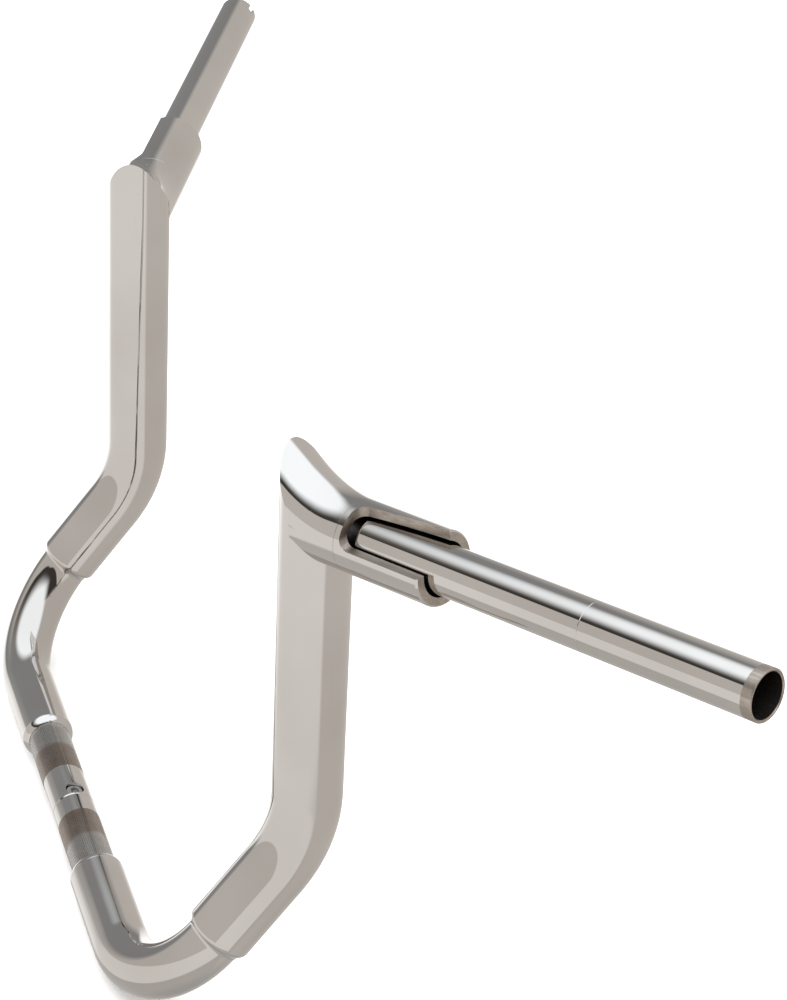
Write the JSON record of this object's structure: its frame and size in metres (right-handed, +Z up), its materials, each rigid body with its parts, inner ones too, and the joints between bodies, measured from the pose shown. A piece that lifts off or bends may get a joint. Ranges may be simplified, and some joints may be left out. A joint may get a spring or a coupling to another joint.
{
  "type": "motorcycle handlebar",
  "caption": "Wide chrome touring handlebar: clamp bar, bends up to thick risers with pointed saddle tops, collars with wiring windows, and swept-back hand tubes.",
  "frame": {"origin": "on the axis of the centre bar, midway between the two knurled clamp bands", "axes": "+X along the centre bar towards the rider's right, +Y forward along the motorcycle, +Z up"},
  "size_m": [0.8878, 0.2592, 0.3527],
  "materials": {
    "chrome": "polished chrome plate over welded steel tube",
    "chrome_centre": "polished chrome plate, knurled where the riser clamps grip",
    "bare_steel": "turned steel, thinly plated",
    "screw_steel": "zinc plated socket screw"
  },
  "bodies": {
    "root": {"right_clamp_tube": "chrome_centre", "right_shoulder_ring": "chrome", "right_lower_bend": "chrome", "right_leg_ring": "chrome", "right_riser_tube": "chrome", "right_pointed_top": "chrome", "right_collar": "chrome", "right_grip_carrier": "bare_steel", "right_grip_tube": "chrome", "left_clamp_tube": "chrome_centre", "left_shoulder_ring": "chrome", "left_lower_bend": "chrome", "left_leg_ring": "chrome", "left_riser_tube": "chrome", "left_pointed_top": "chrome", "left_collar": "chrome", "left_grip_carrier": "bare_steel", "left_grip_tube": "chrome", "centre_spigot": "bare_steel", "centre_screw": "screw_steel"}
  },
  "joints": []
}
